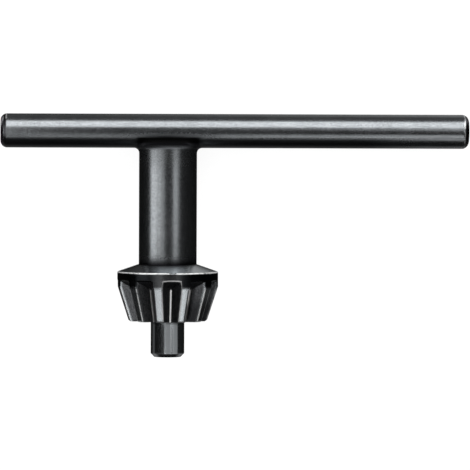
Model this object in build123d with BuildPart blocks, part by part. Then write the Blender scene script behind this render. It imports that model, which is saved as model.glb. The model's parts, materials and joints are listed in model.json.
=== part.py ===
from build123d import *
import os
from math import asin, atan2, cos, hypot, radians, sin, sqrt, tan

# A drill chuck key in one piece: a crossbar handle, a shank, and a bevel-toothed head with a
# pilot pin. Lengths are millimetres. Depths run down the shank from the middle of the crossbar.

# Crossbar handle, with its worn round ends
bar_diameter = 8.0
short_arm = 39.3
long_arm = 70.7
bar_end_length = 1.35
bar_end_face_diameter = 5.4
bar_end_bulge = 0.3

# Shank, whose flat top carries the crossbar, sunk a little into it
shank_diameter = 13.6
shank_length = 31.3
shoulder_depth = 3.2
shoulder_radius = 1.0
junction_radius = 1.2

# Head: a low cone spreads from the shank to the rim, and a steep one carries the teeth
rim_diameter = 23.7
collar_rise = 1.75
rim_width = 3.45
tooth_cone_length = 8.17
nose_diameter = 18.4
rim_edge_radius = 0.25
cone_edge_radius = 0.6
nose_chamfer = 0.35

# Teeth: every space narrows towards the tip of the tooth cone and runs out into the rim
tooth_count = 11
tooth_depth = 2.97
space_root_width = 0.54
space_angle = 73.4
runout_start = 1.85
runout_length = 2.0
runout_corner_radius = 0.25
tooth_edge_radius = 0.25
front_space_turn = 4.0

# Pilot pin
pilot_diameter = 7.9
pilot_length = 8.43
pilot_chamfer = 0.85

bar_radius = bar_diameter / 2
bar_end_face_radius = bar_end_face_diameter / 2
shank_radius = shank_diameter / 2
rim_radius = rim_diameter / 2
nose_radius = nose_diameter / 2
pilot_radius = pilot_diameter / 2

# Depths of the steps of the head
rim_top_depth = shank_length + collar_rise
rim_bottom_depth = rim_top_depth + rim_width
nose_depth = rim_bottom_depth + tooth_cone_length
pilot_end_depth = nose_depth + pilot_length
cone_taper = (rim_radius - nose_radius) / tooth_cone_length
cone_tip_depth = rim_bottom_depth + rim_radius / cone_taper

# The key lies on the rounded upper edge of its rim, on its shoulder and on the long end of its
# crossbar. The edge and the shoulder are rings about the shank, and set how it rises from the
# crossbar towards the head.
collar_slope = atan2(collar_rise, rim_radius - shank_radius)
edge_ring_depth = rim_top_depth + rim_edge_radius * tan(radians(45) - collar_slope / 2)
edge_ring_radius = rim_radius - rim_edge_radius
shoulder_ring_depth = shoulder_depth + shoulder_radius
shoulder_ring_radius = shank_radius - shoulder_radius
ring_rise = edge_ring_radius - shoulder_ring_radius
ring_run = edge_ring_depth - shoulder_ring_depth
shank_slope = atan2(ring_rise, ring_run) - asin(
    (shoulder_radius - rim_edge_radius) / hypot(ring_rise, ring_run)
)
axis_height = (
    shoulder_ring_radius * cos(shank_slope)
    - shoulder_ring_depth * sin(shank_slope)
    + shoulder_radius
)

# The crossbar drops from there until the edge of its cylinder at the long end touches
foot_reach = long_arm - bar_end_length
bar_slope = asin(axis_height / hypot(foot_reach, bar_radius)) - atan2(bar_radius, foot_reach)
shank_sideways = -sin(shank_slope) * tan(bar_slope)
shank_drop = -sin(shank_slope)
shank_along = sqrt(1 - shank_sideways**2 - shank_drop**2)

# The origin is on the table under the middle of the key's box, which reaches from the back of
# the crossbar to the lower edge of the pilot's end
pilot_end_radius = pilot_radius - pilot_chamfer
pilot_reach = pilot_end_depth * shank_along + pilot_end_radius * sqrt(1 - shank_along**2)
shank_x = (short_arm - long_arm) / 2 * cos(bar_slope)
bar_y = (pilot_reach - bar_radius) / 2

# Frame of the key: x along the crossbar to its long end, z up the shank from the pilot
key = Plane(
    origin=(shank_x, bar_y, axis_height),
    x_dir=(cos(bar_slope), 0, -sin(bar_slope)),
    z_dir=(shank_sideways, shank_along, shank_drop),
)
bar_axis = Axis(key.origin, key.x_dir)
shank_axis = Axis(key.origin, key.z_dir)
turning_plane = Plane(origin=key.origin, x_dir=key.x_dir, z_dir=-key.y_dir)

# What is cut away for one tooth space, along x. Its root and flanks all meet at the cone's tip,
# and its upper end slopes out through the rim.
root_taper = (rim_radius - tooth_depth) / (cone_tip_depth - rim_bottom_depth)
with BuildPart() as tooth_space:
    with BuildSketch(Plane.XZ):
        with BuildLine():
            Polyline(
                (root_taper * (cone_tip_depth - shank_length), -shank_length),
                (root_taper * (cone_tip_depth - pilot_end_depth), -pilot_end_depth),
                (rim_radius + tooth_depth, -pilot_end_depth),
                (rim_radius + tooth_depth, -shank_length),
                close=True,
            )
        make_face()
    extrude(amount=rim_radius, both=True)
    for side in (1, -1):
        root_edge = Vector(root_taper, side * space_root_width / 2 / (cone_tip_depth - rim_bottom_depth), 1)
        up_flank = Vector(1, side * tan(radians(space_angle / 2)), 0)
        flank_plane = Plane(
            origin=(0, 0, -cone_tip_depth),
            z_dir=root_edge.cross(up_flank) * side,
        )
        split(bisect_by=flank_plane, keep=Keep.BOTTOM)
    runout_plane = Plane(
        origin=(rim_radius, 0, -rim_top_depth - runout_start),
        x_dir=(0, 1, 0),
        z_dir=(-runout_length, 0, tooth_depth),
    )
    split(bisect_by=runout_plane, keep=Keep.BOTTOM)
    runout = tooth_space.faces().sort_by(Axis.Z)[-1]
    fillet(runout.edges().sort_by(Axis.X)[:-1], runout_corner_radius)

with BuildPart(key) as chuck_key:
    # Shank, head and pilot, turned about one axis
    with BuildSketch(turning_plane):
        with BuildLine():
            upper_outline = FilletPolyline(
                (0, -shoulder_depth),
                (shank_radius, -shoulder_depth),
                (shank_radius, -shank_length),
                (rim_radius, -rim_top_depth),
                (rim_radius, -rim_bottom_depth),
                (nose_radius + cone_taper * nose_chamfer, -nose_depth + nose_chamfer),
                radius=(shoulder_radius, 0, rim_edge_radius, cone_edge_radius),
            )
            Polyline(
                upper_outline @ 1,
                (nose_radius - nose_chamfer, -nose_depth),
                (pilot_radius, -nose_depth),
                (pilot_radius, -pilot_end_depth + pilot_chamfer),
                (pilot_end_radius, -pilot_end_depth),
                (0, -pilot_end_depth),
                upper_outline @ 0,
            )
        make_face()
    revolve(axis=shank_axis)

    # Teeth: the spaces are cut, the first one near the front, and their edges are dressed
    with PolarLocations(0, tooth_count, start_angle=front_space_turn - 90):
        add(tooth_space.part, mode=Mode.SUBTRACT)
    fillet(chuck_key.edges(Select.NEW).filter_by(GeomType.ELLIPSE), tooth_edge_radius)

    # Crossbar, turned about its own axis and blended into the top of the shank
    with BuildSketch(turning_plane):
        with BuildLine():
            side = Line(
                (bar_end_length - short_arm, bar_radius),
                (long_arm - bar_end_length, bar_radius),
            )
            middle = Polyline(
                (-short_arm, bar_end_face_radius),
                (-short_arm, 0),
                (long_arm, 0),
                (long_arm, bar_end_face_radius),
            )
            SagittaArc(middle @ 0, side @ 0, bar_end_bulge)
            SagittaArc(side @ 1, middle @ 1, bar_end_bulge)
        make_face()
    revolve(axis=bar_axis)
    fillet(chuck_key.edges(Select.NEW), junction_radius)

chuck_key.part.label = "chuck_key"
os.makedirs("parts", exist_ok=True)
export_step(chuck_key.part, "parts/chuck_key.step")
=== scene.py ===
import json
import math
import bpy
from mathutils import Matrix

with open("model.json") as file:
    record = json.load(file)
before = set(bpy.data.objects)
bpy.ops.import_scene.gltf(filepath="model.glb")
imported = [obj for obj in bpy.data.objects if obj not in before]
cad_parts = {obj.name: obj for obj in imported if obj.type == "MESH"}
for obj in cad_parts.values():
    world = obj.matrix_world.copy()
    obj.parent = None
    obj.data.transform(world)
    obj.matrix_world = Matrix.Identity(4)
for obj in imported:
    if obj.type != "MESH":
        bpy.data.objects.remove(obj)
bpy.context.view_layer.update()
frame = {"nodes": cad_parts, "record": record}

from types import SimpleNamespace

import bmesh
import bpy
from mathutils import Matrix, Vector

MM = 0.001

# Sizes of the key that its wear, its painted shade and highlights and its machining follow, in
# millimetres. Depths run down the shank from the middle of the crossbar.
BAR_RADIUS = 4.0
SHORT_ARM = 39.3
LONG_ARM = 70.7
BAR_END_LENGTH = 1.35
SHANK_RADIUS = 6.8
SHANK_LENGTH = 31.3
RIM_RADIUS = 11.85
RIM_TOP_DEPTH = 33.05
RIM_BOTTOM_DEPTH = 36.5
NOSE_RADIUS = 9.2
NOSE_DEPTH = 44.67
CONE_TAPER = (RIM_RADIUS - NOSE_RADIUS) / (NOSE_DEPTH - RIM_BOTTOM_DEPTH)
CONE_TIP_DEPTH = RIM_BOTTOM_DEPTH + RIM_RADIUS / CONE_TAPER
PILOT_RADIUS = 3.95
PILOT_END_DEPTH = 53.1
PILOT_CHAMFER = 0.85

# Tooth spaces, whose angles are in degrees
TOOTH_COUNT = 11
TOOTH_DEPTH = 2.97
FRONT_SPACE_TURN = 4.0
SPACE_HALF_ANGLE = 36.7
SPACE_ROOT_WIDTH = 0.54
RUNOUT_START_DEPTH = 34.9
RUNOUT_LENGTH = 2.0

# Sides of the two front teeth, in radians from the middle of the front space. A border of painted
# shade starts, is full, fades and ends at its four angles.
FRONT_TOOTH_INNER_SIDE = 0.2
FRONT_TOOTH_OUTER_SIDE = 0.38
FRONT_TOOTH_BORDER = (0.28, 0.31, 0.42, 0.46)

# Where the painted shade under the crossbar fades out, on the way to the long end
UNDERSIDE_FADE_START = 45.0
UNDERSIDE_FADE_END = 64.0

# How far each edge has rubbed through, where 1 is bare steel; the runout's amount is a painted
# highlight, and the long end's is wear and a painted highlight
TOOTH_WEAR = 0.5
RUNOUT_HIGHLIGHT = 0.6
COLLAR_WEAR = 0.85
NOSE_WEAR = 0.4
PILOT_WEAR = 0.08
LONG_END_WEAR_AND_GLINT = 0.43
SHORT_END_WEAR = 0.5

# How far the wear and the painted highlights of each edge reach to either side, in millimetres
TOOTH_WEAR_REACH = 0.26
RUNOUT_HIGHLIGHT_REACH = 0.24
COLLAR_WEAR_REACH = 0.34
NOSE_WEAR_REACH = 0.4
PILOT_WEAR_REACH = 0.3
LONG_END_WEAR_AND_GLINT_REACH = 0.22
SHORT_END_WEAR_REACH = 0.25

# Size of what the finish is made of, in millimetres
GRAIN_SIZE = 0.35
CLOUD_SIZE = 4.5
WEAR_PATCH_SIZE = 1.6
DRAWN_MARK_SIZE = 0.22
TURNED_MARK_SIZE = 0.16
RELIEF_HEIGHT = 0.02

# Colours of the steel, from the darkest of its grain to the lightest. Among them are painted shade,
# rubbed steel with a painted sheen and bare steel with painted glints
OPEN_STEEL = ((0.122, 0.13, 0.136, 1.0), (0.23, 0.242, 0.251, 1.0))
BLACK_STEEL = ((0.025, 0.026, 0.028, 1.0), (0.08, 0.082, 0.085, 1.0))
PAINTED_SHADE = ((0.004, 0.004, 0.005, 1.0), (0.016, 0.016, 0.018, 1.0))
RUBBED_AND_SHEEN_STEEL = ((0.305, 0.323, 0.335, 1.0), (0.475, 0.502, 0.52, 1.0))
BARE_STEEL_AND_GLINT = ((0.6, 0.6, 0.6, 1.0), (0.85, 0.85, 0.84, 1.0))

# Plain colours: painted shade on the sides of the rim and a painted highlight on its middle, the
# part that faces the front, and black painted shade for the seam under the crossbar
RIM_SIDE_SHADE = (0.011, 0.012, 0.013, 1.0)
RIM_MIDDLE_HIGHLIGHT = (0.085, 0.087, 0.09, 1.0)
SEAM_SHADE = (0.002, 0.002, 0.002, 1.0)
FLOOR_GREY = (0.1, 0.1, 0.1, 1.0)
WHITE = (1.0, 1.0, 1.0, 1.0)

# The key's own axes, from its mounts: along the crossbar to its long end, up the shank, and
# towards whoever looks at its front
mounts = {mount["name"]: mount for mount in frame["record"]["mounts"]}
along_bar = Vector(mounts["long_arm"]["axis"]).normalized()
up_shank = -Vector(mounts["pilot"]["axis"]).normalized()
to_front = along_bar.cross(up_shank)
arm_place = Vector(mounts["long_arm"]["pos_m"])
pilot_place = Vector(mounts["pilot"]["pos_m"])
key_middle = arm_place - along_bar * (arm_place - pilot_place).dot(along_bar)


def on_key(across, up, front):
    """The place in the row frame of a point on the key's own axes, in millimetres."""
    return key_middle + (along_bar * across + up_shank * up + to_front * front) * MM


def away(azimuth, elevation):
    """The direction from the key that far to the right of its front and above it, in degrees."""
    turn = math.radians(azimuth)
    rise = math.radians(elevation)
    level = along_bar * math.sin(turn) + to_front * math.cos(turn)
    return level * math.cos(rise) + up_shank * math.sin(rise)


def facing_key(back):
    """The attitude of a camera or a light whose back points in that direction."""
    right = up_shank.cross(back).normalized()
    up = back.cross(right)
    return Matrix((right, up, back)).transposed().to_4x4()


# Camera
CAMERA_DISTANCE = 1.0
CAMERA_AZIMUTH = -2.0
CAMERA_ELEVATION = 1.8
CAMERA_ROLL = 0.21
CAMERA_ACROSS = 15.80
CAMERA_UP = -24.42
PIXELS = 470
FOCAL_PIXELS = 4252.6
SENSOR_WIDTH = 36.0


def add_camera():
    data = bpy.data.cameras.new("camera")
    data.sensor_width = SENSOR_WIDTH
    data.lens = FOCAL_PIXELS / PIXELS * SENSOR_WIDTH
    data.clip_start = 0.01
    data.clip_end = 50.0
    camera = bpy.data.objects.new("camera", data)
    bpy.context.scene.collection.objects.link(camera)
    back = away(CAMERA_AZIMUTH, CAMERA_ELEVATION)
    place = on_key(CAMERA_ACROSS, CAMERA_UP, 0.0) + back * CAMERA_DISTANCE
    roll = Matrix.Rotation(math.radians(CAMERA_ROLL), 4, "Z")
    camera.matrix_world = Matrix.Translation(place) @ facing_key(back) @ roll
    bpy.context.scene.camera = camera


# Shader nodes
class Wire:
    """The output of a shader node. Arithmetic on it adds the Math nodes."""

    def __init__(self, shader, socket):
        self.shader = shader
        self.socket = socket

    def __add__(self, other):
        return self.shader.maths("ADD", self, other)

    def __radd__(self, other):
        return self.shader.maths("ADD", other, self)

    def __sub__(self, other):
        return self.shader.maths("SUBTRACT", self, other)

    def __rsub__(self, other):
        return self.shader.maths("SUBTRACT", other, self)

    def __mul__(self, other):
        return self.shader.maths("MULTIPLY", self, other)

    def __rmul__(self, other):
        return self.shader.maths("MULTIPLY", other, self)

    def __truediv__(self, other):
        return self.shader.maths("DIVIDE", self, other)

    def __rtruediv__(self, other):
        return self.shader.maths("DIVIDE", other, self)

    def __abs__(self):
        return self.shader.maths("ABSOLUTE", self)

    def least(self, other):
        return self.shader.maths("MINIMUM", self, other)

    def most(self, other):
        return self.shader.maths("MAXIMUM", self, other)

    def rising(self, start, end):
        """0 up to start, 1 from end on, and smooth between them."""
        settings = {"interpolation_type": "SMOOTHSTEP"}
        sockets = {"Value": self, "From Min": start, "From Max": end}
        return self.shader.add("ShaderNodeMapRange", settings, sockets)

    def falling(self, start, end):
        """1 up to start, 0 from end on, and smooth between them."""
        return 1.0 - self.rising(start, end)

    def within(self, start, full, fade, end):
        """0 up to start, 1 from full to fade, 0 from end on, and smooth between them."""
        return self.rising(start, full) * self.falling(fade, end)

    def near(self, place, half_width):
        """1 at that value, and 0 half a width or more away from it."""
        return abs(self - place).falling(0.0, half_width)


class Shader:
    """The node tree of a material, a light or the world."""

    def __init__(self, owner):
        owner.use_nodes = True
        self.tree = owner.node_tree
        self.tree.nodes.clear()

    @staticmethod
    def find(sockets, name):
        shown = [socket for socket in sockets if socket.enabled]
        if isinstance(name, int):
            return shown[name]
        return next(socket for socket in shown if socket.name == name)

    def add(self, kind, settings, sockets, output=0):
        """Adds a node of that kind, sets it up, fills or links its sockets and gives an output."""
        node = self.tree.nodes.new(kind)
        for name, value in settings.items():
            setattr(node, name, value)
        for name, value in sockets.items():
            socket = self.find(node.inputs, name)
            if isinstance(value, Wire):
                self.tree.links.new(value.socket, socket)
            else:
                socket.default_value = value
        if not node.outputs:
            return None
        return Wire(self, self.find(node.outputs, output))

    def maths(self, operation, *operands):
        return self.add("ShaderNodeMath", {"operation": operation}, dict(enumerate(operands)))

    def hypot(self, a, b):
        return self.maths("SQRT", a * a + b * b)

    def vector_maths(self, operation, first, second, output="Vector"):
        sockets = {0: first, 1: second}
        return self.add("ShaderNodeVectorMath", {"operation": operation}, sockets, output)

    def dot(self, vector, direction):
        return self.vector_maths("DOT_PRODUCT", vector, direction, "Value")

    def vector(self, x, y, z):
        return self.add("ShaderNodeCombineXYZ", {}, {"X": x, "Y": y, "Z": z})

    def noise(self, vector, size, detail, roughness):
        """Noise from about 0 to 1, whose features are about that size."""
        sockets = {"Vector": vector, "Scale": 1.0 / size, "Detail": detail, "Roughness": roughness}
        return self.add("ShaderNodeTexNoise", {}, sockets)

    def blend(self, factor, first, second):
        """From the first colour to the second."""
        settings = {"data_type": "RGBA"}
        return self.add("ShaderNodeMix", settings, {"Factor": factor, "A": first, "B": second})


# Blackened steel
def locate(shader):
    """Where a point lies on the key, in millimetres and radians on the key's own axes."""
    at = SimpleNamespace()
    place = shader.add("ShaderNodeTexCoord", {}, {}, "Object")
    place = shader.vector_maths("SUBTRACT", place, key_middle)
    at.across = shader.dot(place, along_bar / MM)
    at.depth = shader.dot(place, -up_shank / MM)
    front = shader.dot(place, to_front / MM)
    at.shank_reach = shader.hypot(at.across, front)
    at.bar_reach = shader.hypot(at.depth, front)
    at.local = shader.vector(at.across, front, at.depth)

    # A point's place in its own tooth's sector. Distances are negative inside a tooth space.
    sector = 2.0 * math.pi / TOOTH_COUNT
    at.azimuth = shader.maths("ARCTAN2", at.across, front) - math.radians(FRONT_SPACE_TURN)
    folded = shader.maths("WRAP", at.azimuth, sector / 2.0, -sector / 2.0)
    outwards = at.shank_reach * shader.maths("COSINE", folded)
    at.sideways = abs(at.shank_reach * shader.maths("SINE", folded))
    above_tip = CONE_TIP_DEPTH - at.depth
    tip_to_rim = CONE_TIP_DEPTH - RIM_BOTTOM_DEPTH
    opening = math.tan(math.radians(SPACE_HALF_ANGLE))
    root_taper = (RIM_RADIUS - TOOTH_DEPTH) / tip_to_rim
    root_spread = SPACE_ROOT_WIDTH / 2.0 / tip_to_rim
    rise = root_taper * opening - root_spread
    flank = (at.sideways - outwards * opening + above_tip * rise) / math.hypot(opening, 1.0)
    runout = (RIM_RADIUS - outwards) * RUNOUT_LENGTH
    runout = runout - (at.depth - RUNOUT_START_DEPTH) * TOOTH_DEPTH
    runout = runout / math.hypot(RUNOUT_LENGTH, TOOTH_DEPTH)
    at.space = flank.most(runout)
    at.shell = at.shank_reach - (above_tip * CONE_TAPER).least(RIM_RADIUS)

    # Which part of the key it is on
    at.on_pilot = at.depth.rising(NOSE_DEPTH + 0.2, NOSE_DEPTH + 1.0)
    at.on_shell = at.shell.near(0.0, 0.5)
    at.below_rim = at.depth.rising(RIM_BOTTOM_DEPTH, RIM_BOTTOM_DEPTH + 0.8)
    on_head = at.depth.rising(RIM_TOP_DEPTH - 0.3, RIM_TOP_DEPTH) * at.shank_reach.rising(5.0, 5.5)
    at.in_space = on_head * at.shell.falling(-0.7, -0.2)
    return at


def round_edge(around, radius, level, height, wear_reach):
    """1 on the edge of that radius at that height, and 0 where the wear no longer reaches."""
    from_edge = around.shader.hypot(around - radius, level - height)
    return from_edge.falling(wear_reach * 0.4, wear_reach)


def tooth_edges(at, wear_reach):
    """1 on the edges between the tooth spaces and the outside of the head."""
    inset = 0.06
    return at.space.near(inset, wear_reach) * at.shell.near(-inset, wear_reach)


def tooth_wear_and_highlight(at):
    """The wear down the teeth's edges, with painted shade on the sides of the left front tooth and
    on the lower outer side of the right one, and a painted highlight on its outer side near the
    rim.
    """
    outer_left = at.azimuth.near(-FRONT_TOOTH_OUTER_SIDE, 0.09)
    inner_left = at.azimuth.near(-FRONT_TOOTH_INNER_SIDE, 0.08)
    outer_right = at.azimuth.near(FRONT_TOOTH_OUTER_SIDE, 0.09)
    near_rim = at.depth.falling(RIM_BOTTOM_DEPTH + 3.0, RIM_BOTTOM_DEPTH + 4.5)
    outer_right = outer_right * (near_rim * 0.6 - 0.2)
    amount = TOOTH_WEAR - outer_left * 0.4 - inner_left * 0.3 + outer_right
    return tooth_edges(at, TOOTH_WEAR_REACH) * at.below_rim * amount


def runout_highlight(at):
    """A painted highlight on the upper edge of the front space."""
    upper_edge = tooth_edges(at, RUNOUT_HIGHLIGHT_REACH)
    upper_edge = upper_edge * at.depth.rising(RUNOUT_START_DEPTH - 0.5, RUNOUT_START_DEPTH - 0.2)
    upper_edge = upper_edge * abs(at.azimuth).falling(0.25, 0.4) * at.sideways.falling(1.8, 2.6)
    return upper_edge * RUNOUT_HIGHLIGHT


def end_wear_and_glint(at):
    """Wear on the ends of the crossbar, whose ring on the long end is partly a painted highlight:
    all but the bottom of the long one, and the top of the short one."""
    long_radius = BAR_RADIUS - 0.04
    long_place = LONG_ARM - BAR_END_LENGTH + 0.3
    short_place = BAR_END_LENGTH - SHORT_ARM
    long_end = round_edge(at.bar_reach, long_radius, at.across, long_place, LONG_END_WEAR_AND_GLINT_REACH)
    long_end = long_end * at.depth.falling(2.2, 3.2) * LONG_END_WEAR_AND_GLINT
    short_end = round_edge(at.bar_reach, BAR_RADIUS, at.across, short_place, SHORT_END_WEAR_REACH)
    short_end = short_end * at.depth.falling(-3.2, -2.4) * SHORT_END_WEAR
    return long_end.most(short_end)


def worn_and_highlit_edges(shader, at):
    """Where edges have rubbed bare, in patches, with painted highlights on the front teeth, the
    front space and the long end of the crossbar.
    """
    chamfer_depth = PILOT_END_DEPTH - PILOT_CHAMFER
    collar = round_edge(at.shank_reach, RIM_RADIUS, at.depth, RIM_TOP_DEPTH, COLLAR_WEAR_REACH)
    nose = round_edge(at.shank_reach, NOSE_RADIUS, at.depth, NOSE_DEPTH, NOSE_WEAR_REACH)
    pilot = round_edge(at.shank_reach, PILOT_RADIUS, at.depth, chamfer_depth, PILOT_WEAR_REACH)
    rubbed_and_highlit = tooth_wear_and_highlight(at).most(runout_highlight(at)).most(end_wear_and_glint(at)).most(collar * COLLAR_WEAR)
    rubbed_and_highlit = rubbed_and_highlit.most(nose * NOSE_WEAR).most(pilot * PILOT_WEAR)
    patches = shader.noise(at.local, WEAR_PATCH_SIZE, 3.0, 0.6)
    return rubbed_and_highlit * patches.rising(0.22, 0.5)


def bar_seam_shade(at):
    """Painted shade in the corner in which the crossbar sinks into the top of the shank."""
    seam_shade = at.depth.within(1.2, 1.8, 3.7, 4.6)
    seam_shade = seam_shade * at.shank_reach.falling(SHANK_RADIUS + 0.6, SHANK_RADIUS + 2.7)
    return seam_shade * (1.0 - at.depth.rising(3.0, 3.5) * 0.08)


def front_border_shade(at):
    """Painted shade along the outer sides of the two front teeth."""
    left = (0.0 - at.azimuth).within(*FRONT_TOOTH_BORDER) * at.space.falling(0.1, 0.3)
    right = at.azimuth.within(*FRONT_TOOTH_BORDER) * at.space.within(0.1, 0.2, 0.35, 0.6)
    return at.on_shell * at.below_rim * left.most(right)


def painted_corner_shade(at, seam_shade):
    """Painted shade round the crossbar's seat and its underside, above the collar, and along the
    borders of the front teeth."""
    below_bar = 1.0 - at.depth.rising(3.6, 4.8) * 0.5 - at.depth.rising(3.8, 12.0) * 0.5
    below_bar = below_bar * at.depth.rising(-0.4, 1.6) * at.shank_reach.falling(2.0, 16.0)
    above_collar = at.depth.rising(SHANK_LENGTH - 3.7, SHANK_LENGTH)
    above_collar = above_collar * above_collar
    above_collar = above_collar * at.shank_reach.falling(SHANK_RADIUS + 0.1, SHANK_RADIUS + 0.6)
    above_collar = above_collar * at.depth.falling(SHANK_LENGTH + 0.5, SHANK_LENGTH + 1.5)
    underside = at.depth.within(1.3, 2.2, BAR_RADIUS - 0.1, BAR_RADIUS + 0.2)
    underside = underside * at.across.falling(UNDERSIDE_FADE_START, UNDERSIDE_FADE_END) * 0.85
    corner = below_bar.most(seam_shade).most(above_collar)
    return corner.most(underside).most(front_border_shade(at))


def bar_end_shade(at):
    """Painted shade on the last stretch of the crossbar's long end, and on a ring round its short
    end.
    """
    long_end = at.across.rising(LONG_ARM - 1.0, LONG_ARM - 0.8)
    from_short_end = at.across + SHORT_ARM
    return long_end.most(from_short_end.within(0.72, 0.92, 1.25, 1.5)) * 0.92


def rubbed_and_sheen_faces(at):
    """The lighter faces: the lands of the teeth and the pilot pin, which are rubbed, and the cone
    above the rim, whose lightness is a painted reflection.
    """
    lands = at.on_shell * at.depth.rising(RIM_BOTTOM_DEPTH, RIM_BOTTOM_DEPTH + 0.6)
    lands = lands * at.space.rising(0.1, 0.35)
    upper_cone = at.shank_reach.rising(SHANK_RADIUS + 0.4, SHANK_RADIUS + 1.0)
    upper_cone = upper_cone * at.depth.rising(SHANK_LENGTH, SHANK_LENGTH + 0.2)
    upper_cone = upper_cone * at.depth.falling(RIM_TOP_DEPTH, RIM_TOP_DEPTH + 0.1)
    return lands.most(at.on_pilot).most(upper_cone * 0.8)


def rim_band(at):
    """The round wall between the two cones."""
    below_top = at.depth.rising(RIM_TOP_DEPTH + 0.1, RIM_TOP_DEPTH + 0.5)
    above_bottom = at.depth.falling(RIM_BOTTOM_DEPTH - 0.4, RIM_BOTTOM_DEPTH + 0.3)
    return below_top * above_bottom * at.on_shell


def lower_right_shade(at):
    """Painted shade on the lower ends of the teeth on the right."""
    lower_shade = at.below_rim * at.azimuth.within(0.42, 0.5, 1.8, 2.2)
    lower_shade = lower_shade * at.depth.rising(RIM_BOTTOM_DEPTH + 1.0, RIM_BOTTOM_DEPTH + 5.5)
    return lower_shade * at.depth.falling(NOSE_DEPTH - 0.2, NOSE_DEPTH) * 0.75


def tool_marks(shader, at):
    """Fine marks, drawn along the crossbar and turned around the shank and the head."""
    on_bar = at.bar_reach.falling(BAR_RADIUS + 0.02, BAR_RADIUS + 0.12)
    drawn = shader.vector_maths("MULTIPLY", at.local, (0.06, 1.0, 1.0))
    turned = shader.vector_maths("MULTIPLY", at.local, (0.12, 0.12, 1.0))
    drawn_marks = shader.noise(drawn, DRAWN_MARK_SIZE, 3.0, 0.6)
    turned_marks = shader.noise(turned, TURNED_MARK_SIZE, 3.0, 0.6)
    return drawn_marks * on_bar + turned_marks * (1.0 - on_bar)


def blackened_steel():
    """Black oxide on turned and tumbled steel, bare and bright where its edges have rubbed, with
    painted shade in its corners and painted highlights on some edges, the rim, the tooth roots and
    the cone above the rim.
    """
    material = bpy.data.materials.new("blackened_steel")
    shader = Shader(material)
    at = locate(shader)
    wear_and_highlight = worn_and_highlit_edges(shader, at)
    seam_shade = bar_seam_shade(at)
    corner = painted_corner_shade(at, seam_shade)
    marks = tool_marks(shader, at)
    grain = shader.noise(at.local, GRAIN_SIZE, 4.0, 0.65)
    clouds = shader.noise(at.local, CLOUD_SIZE, 3.0, 0.55)

    # Colours, from the ground to what lies on it
    tone = clouds * 0.2 + grain * 0.5 + marks * 0.3
    open_steel = shader.blend(tone.rising(0.3, 0.7), *OPEN_STEEL)
    black_steel = shader.blend(grain.rising(0.3, 0.7), *BLACK_STEEL)
    painted_shade = shader.blend(grain, *PAINTED_SHADE)
    rubbed_and_sheen_steel = shader.blend(grain, *RUBBED_AND_SHEEN_STEEL)
    bare_steel_and_glint = shader.blend(grain, *BARE_STEEL_AND_GLINT)
    # Painted shade on the sides of the rim and a painted highlight on its middle, which faces the
    # front
    rim_shade_and_highlight = shader.blend(abs(at.azimuth + 0.1).falling(0.08, 0.35), RIM_SIDE_SHADE, RIM_MIDDLE_HIGHLIGHT)
    # A painted highlight along the roots of the tooth spaces
    root_highlight = at.sideways.falling(0.05, 0.25) * at.in_space * at.below_rim
    colour = shader.blend(at.in_space, open_steel, black_steel)
    colour = shader.blend(rim_band(at), colour, rim_shade_and_highlight)
    # Rubbed lands and pilot, and a painted reflection on the cone above the rim
    colour = shader.blend(rubbed_and_sheen_faces(at), colour, rubbed_and_sheen_steel)
    colour = shader.blend(root_highlight, colour, bare_steel_and_glint)
    # Painted shade in the corners, under the crossbar, along the front teeth and at the crossbar's
    # ends
    colour = shader.blend(corner.most(bar_end_shade(at)), colour, painted_shade)
    # Black painted shade deep in the corner under the crossbar
    colour = shader.blend(seam_shade * at.depth.falling(2.6, 3.1), colour, SEAM_SHADE)
    # Painted shade on the lower ends of the right-hand teeth
    colour = shader.blend(lower_right_shade(at), colour, painted_shade)
    # Wear, with painted highlights on some edges
    colour = shader.blend(wear_and_highlight, colour, bare_steel_and_glint)

    # Gloss and relief
    roughness = 0.17 + grain * 0.1 + clouds * 0.04
    roughness = roughness + at.in_space * 0.12 + corner * 0.1 + wear_and_highlight * 0.2
    roughness = roughness + seam_shade * 0.2 - at.on_pilot * 0.11
    metallic = 1.0 - wear_and_highlight * 0.35
    height = grain * 0.8 + marks * 0.4 + clouds * 0.1
    relief = {"Strength": 0.35, "Distance": RELIEF_HEIGHT * MM, "Height": height}
    normal = shader.add("ShaderNodeBump", {}, relief)
    sockets = {"Base Color": colour, "Roughness": roughness, "Metallic": metallic, "Normal": normal}
    surface = shader.add("ShaderNodeBsdfPrincipled", {}, sockets)
    shader.add("ShaderNodeOutputMaterial", {}, {"Surface": surface})
    return material


# Studio
FLOOR_SIZE = 12.0
FLOOR_GLOW = 0.9


def floor_paint():
    """Matt pale paint, lit from inside as a light table is."""
    material = bpy.data.materials.new("floor_paint")
    shader = Shader(material)
    sockets = {
        "Base Color": FLOOR_GREY,
        "Roughness": 1.0,
        "Specular IOR Level": 0.0,
        "Emission Color": WHITE,
        "Emission Strength": FLOOR_GLOW,
    }
    surface = shader.add("ShaderNodeBsdfPrincipled", {}, sockets)
    shader.add("ShaderNodeOutputMaterial", {}, {"Surface": surface})
    return material


def add_floor():
    """A large pale light table that the key lies on."""
    data = bpy.data.meshes.new("floor")
    shape = bmesh.new()
    bmesh.ops.create_grid(shape, x_segments=1, y_segments=1, size=FLOOR_SIZE / 2.0)
    shape.to_mesh(data)
    shape.free()
    data.materials.append(floor_paint())
    floor = bpy.data.objects.new("floor", data)
    floor.visible_glossy = False
    bpy.context.scene.collection.objects.link(floor)


# Brightness of what the steel sees of the room
DARK_ROOM = 0.01
CEILING = 0.16
CEILING_LOSS_BEHIND = 0.1
SIDE_WALL = 0.008
BACK_WALL = 0.6
BACK_RIM = 0.035
BACK_TABLE = 0.25


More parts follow.
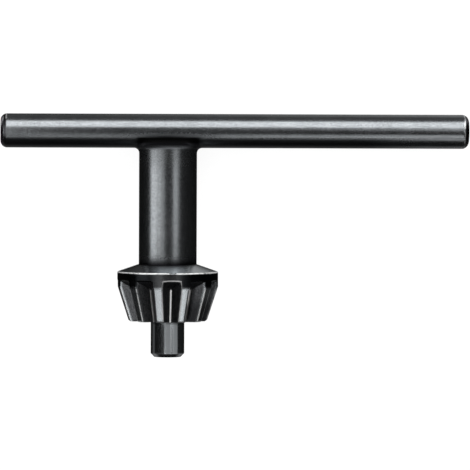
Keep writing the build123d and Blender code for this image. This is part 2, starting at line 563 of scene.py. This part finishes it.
def add_surroundings():
    """A bright room for the floor and the view, which the steel sees as a dark one."""
    world = bpy.data.worlds.new("studio")
    bpy.context.scene.world = world
    shader = Shader(world)
    glossy = shader.add("ShaderNodeLightPath", {}, {}, "Is Glossy Ray")
    direction = shader.add("ShaderNodeTexCoord", {}, {}, "Generated")
    forwards = shader.dot(direction, to_front)
    upwards = shader.dot(direction, up_shank)
    sideways = shader.dot(direction, along_bar)
    behind = forwards.falling(-0.7, -0.3)
    ceiling = upwards.rising(0.35, 0.8) * (CEILING - behind * CEILING_LOSS_BEHIND)
    side = sideways.rising(0.7, 0.95) * SIDE_WALL
    rim_light = abs(upwards).rising(0.25, 0.5) * BACK_RIM
    wall = upwards.rising(0.2, 0.6) * sideways.rising(-0.03, 0.12) * BACK_WALL
    table = upwards.falling(-0.6, -0.2) * BACK_TABLE
    steel_sees = DARK_ROOM + ceiling + side + behind * (rim_light + wall + table)
    strength = (1.0 - glossy) + steel_sees * glossy
    background = shader.add("ShaderNodeBackground", {}, {"Color": WHITE, "Strength": strength})
    shader.add("ShaderNodeOutputWorld", {}, {"Surface": background})


# Points on the key at which the softboxes aim, in millimetres across, up and to the front
SHORT_END = (-39.0, 0.0, 0.0)
SHORT_ARM_MIDDLE = (-24.0, 0.0, 0.0)
BAR_MIDDLE = (15.0, 0.0, 0.0)
SHANK_MIDDLE = (0.0, -18.0, 0.0)
TEETH = (0.0, -40.0, 0.0)
PILOT = (0.0, -49.0, 0.0)

# Softboxes: name, aim, azimuths and elevations in degrees, brightness, and distance in metres
FAR = 0.5
SOFTBOXES = (
    ("left_window", SHANK_MIDDLE, (-71.0, -44.0), (-14.0, 30.0), 2.6, 0.08),
    ("left_fill", SHANK_MIDDLE, (-44.0, -28.0), (-9.0, 28.0), 1.8, 0.15),
    ("left_edge", SHANK_MIDDLE, (-28.0, -15.0), (-9.0, 28.0), 0.9, 0.15),
    ("right_window", SHANK_MIDDLE, (20.0, 38.0), (-5.0, 30.0), 1.9, FAR),
    ("right_fill", SHANK_MIDDLE, (38.0, 46.5), (-5.0, 30.0), 0.55, FAR),
    ("upper_window", BAR_MIDDLE, (-35.0, 35.0), (26.0, 70.0), 3.3, FAR),
    ("upper_right", BAR_MIDDLE, (36.0, 112.0), (33.0, 55.0), 3.0, FAR),
    ("upper_fill", BAR_MIDDLE, (8.0, 40.0), (8.0, 26.0), 1.2, FAR),
    ("lower_left", TEETH, (-34.0, -16.0), (-44.0, -33.0), 1.65, FAR),
    ("lower_middle", TEETH, (8.0, 22.0), (-38.0, -18.0), 1.8, FAR),
    ("lower_right", TEETH, (31.0, 50.0), (-45.0, -33.0), 2.3, FAR),
    ("lowest_right", TEETH, (18.0, 46.0), (-56.0, -45.0), 1.1, FAR),
    ("flank_fill", TEETH, (-28.0, -12.0), (-26.0, -9.0), 4.6, FAR),
    ("bar_line", SHORT_ARM_MIDDLE, (-5.0, 3.0), (-43.0, -40.0), 2.5, FAR),
    ("pin_card", PILOT, (-22.0, 25.0), (-11.0, 5.0), 0.45, 0.085),
    ("pin_right", PILOT, (35.0, 70.0), (-11.0, 2.0), 0.43, 0.085),
    ("left_end", SHORT_END, (-140.0, -112.0), (10.0, 45.0), 1.0, 0.06),
    ("pin_side", PILOT, (-122.0, -98.0), (-10.0, 5.0), 0.12, 0.08),
)


def softbox(name, aim, azimuths, elevations, brightness, distance):
    """An area light that fills those azimuths and elevations, seen from a point on the key."""
    azimuth = sum(azimuths) / 2.0
    elevation = sum(elevations) / 2.0
    width = 2.0 * distance * math.tan(math.radians(azimuths[1] - azimuths[0]) / 2.0)
    height = 2.0 * distance * math.tan(math.radians(elevations[1] - elevations[0]) / 2.0)
    data = bpy.data.lights.new(name, "AREA")
    data.shape = "RECTANGLE"
    data.size = width
    data.size_y = height
    data.energy = brightness * width * height * math.pi
    light = bpy.data.objects.new(name, data)
    light.visible_camera = False
    bpy.context.scene.collection.objects.link(light)
    back = away(azimuth, elevation)
    light.matrix_world = Matrix.Translation(on_key(*aim) + back * distance) @ facing_key(back)


add_camera()
add_floor()
add_surroundings()
for placement in SOFTBOXES:
    softbox(*placement)

steel = blackened_steel()
for slot in frame["nodes"]["chuck_key"].material_slots:
    slot.material = steel

bpy.context.scene.view_settings.view_transform = "Standard"
